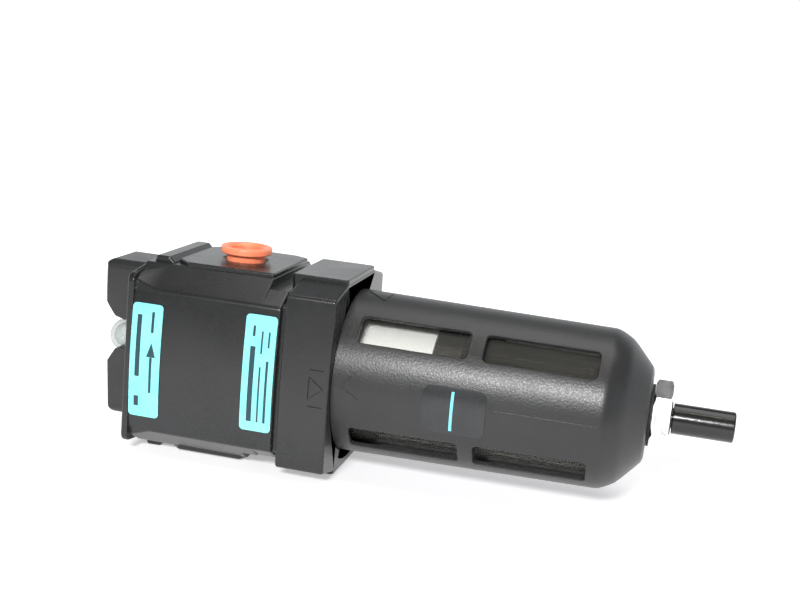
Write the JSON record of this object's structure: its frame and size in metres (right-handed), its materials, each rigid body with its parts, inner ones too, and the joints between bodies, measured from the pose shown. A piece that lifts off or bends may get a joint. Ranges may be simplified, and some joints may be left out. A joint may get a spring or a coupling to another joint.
{
  "type": "compressed air filter",
  "caption": "Inline compressed air filter: square black head with ported faces, slotted bowl guard around a clear bowl, and a drain stem.",
  "frame": {"origin": "centre of the assembly's bounding box, on the surface that the filter lies on (under the inlet-side clamp ridge and the collar pad)", "axes": "+X along the bowl axis towards the drain (down when installed), -Y out of the labelled front face, +Z out of the outlet port (the filter lies on its inlet side)"},
  "size_m": [0.1994, 0.0569, 0.0648],
  "materials": {
    "cast_black": "die casting with a fine-grained black paint, satin",
    "label_cyan": "printed film, satin",
    "plug_orange": "soft moulded polyethylene, satin",
    "housing_black": "moulded nylon, satin",
    "clear_plastic": "clear moulded polycarbonate",
    "clear_bowl": "clear moulded polycarbonate",
    "indicator_green": "moulded, gloss",
    "spring_steel": "drawn wire",
    "seal_rubber": "nitrile rubber, matte",
    "screw_steel": "blackened steel",
    "element_black": "moulded, satin",
    "core_steel": "perforated sheet",
    "media_white": "wound glass fibre",
    "sleeve_white": "open-cell foam sleeve",
    "guard_black": "fine-grained moulding, satin",
    "sticker_dark": "printed film",
    "stem_black": "moulded nylon, gloss",
    "nut_nickel": "nickel plated brass"
  },
  "bodies": {
    "head": {"filter_head": "cast_black", "label_left": "label_cyan", "label_right": "label_cyan", "indicator_housing": "housing_black", "indicator_lens": "clear_plastic", "indicator_spring": "spring_steel", "indicator_gasket": "seal_rubber", "indicator_screw_upper": "screw_steel", "indicator_screw_lower": "screw_steel", "element_top_cap": "element_black", "element_o_ring": "seal_rubber", "element_core": "core_steel", "element_media": "media_white", "element_sleeve": "sleeve_white", "element_bottom_cap": "element_black"},
    "port_cap": {"outlet_plug": "plug_orange"},
    "indicator": {"indicator_piston": "indicator_green"},
    "bowl_group": {"bowl": "clear_bowl", "bowl_o_ring": "seal_rubber", "bowl_guard": "guard_black", "level_sticker": "sticker_dark", "drain_body": "housing_black", "drain_seal": "seal_rubber", "drain_gasket": "seal_rubber", "drain_nut": "nut_nickel", "drain_spring": "spring_steel"},
    "stem": {"drain_stem": "stem_black"},
    "poppet": {"drain_poppet": "element_black"}
  },
  "joints": [
    {"name": "bowl_twist", "type": "hinge", "parent": "head", "child": "bowl_group", "pos_m": [-0.02475, 0, 0.0306], "axis": [-1, 0, 0], "range_deg": [0, 45]},
    {"name": "cap_pull", "type": "slide", "parent": "head", "child": "port_cap", "axis": [0, 0, 1], "range_m": [0, 0.014]},
    {"name": "indicator_travel", "type": "slide", "parent": "head", "child": "indicator", "axis": [-1, 0, 0], "range_m": [0, 0.0025], "stiffness_N_per_m": 120, "deforming": ["indicator_spring"]},
    {"name": "stem_turn", "type": "hinge", "parent": "bowl_group", "child": "stem", "pos_m": [0.08825, 0, 0.0306], "axis": [1, 0, 0], "range_deg": [0, 90]},
    {"name": "poppet_lift", "type": "slide", "parent": "bowl_group", "child": "poppet", "axis": [-1, 0, 0], "range_m": [0, 0.0012], "deforming": ["drain_spring"]}
  ],
  "couplings": [
    {"joint": "stem_turn", "follows": "poppet_lift", "rad_per_m": 1309}
  ]
}
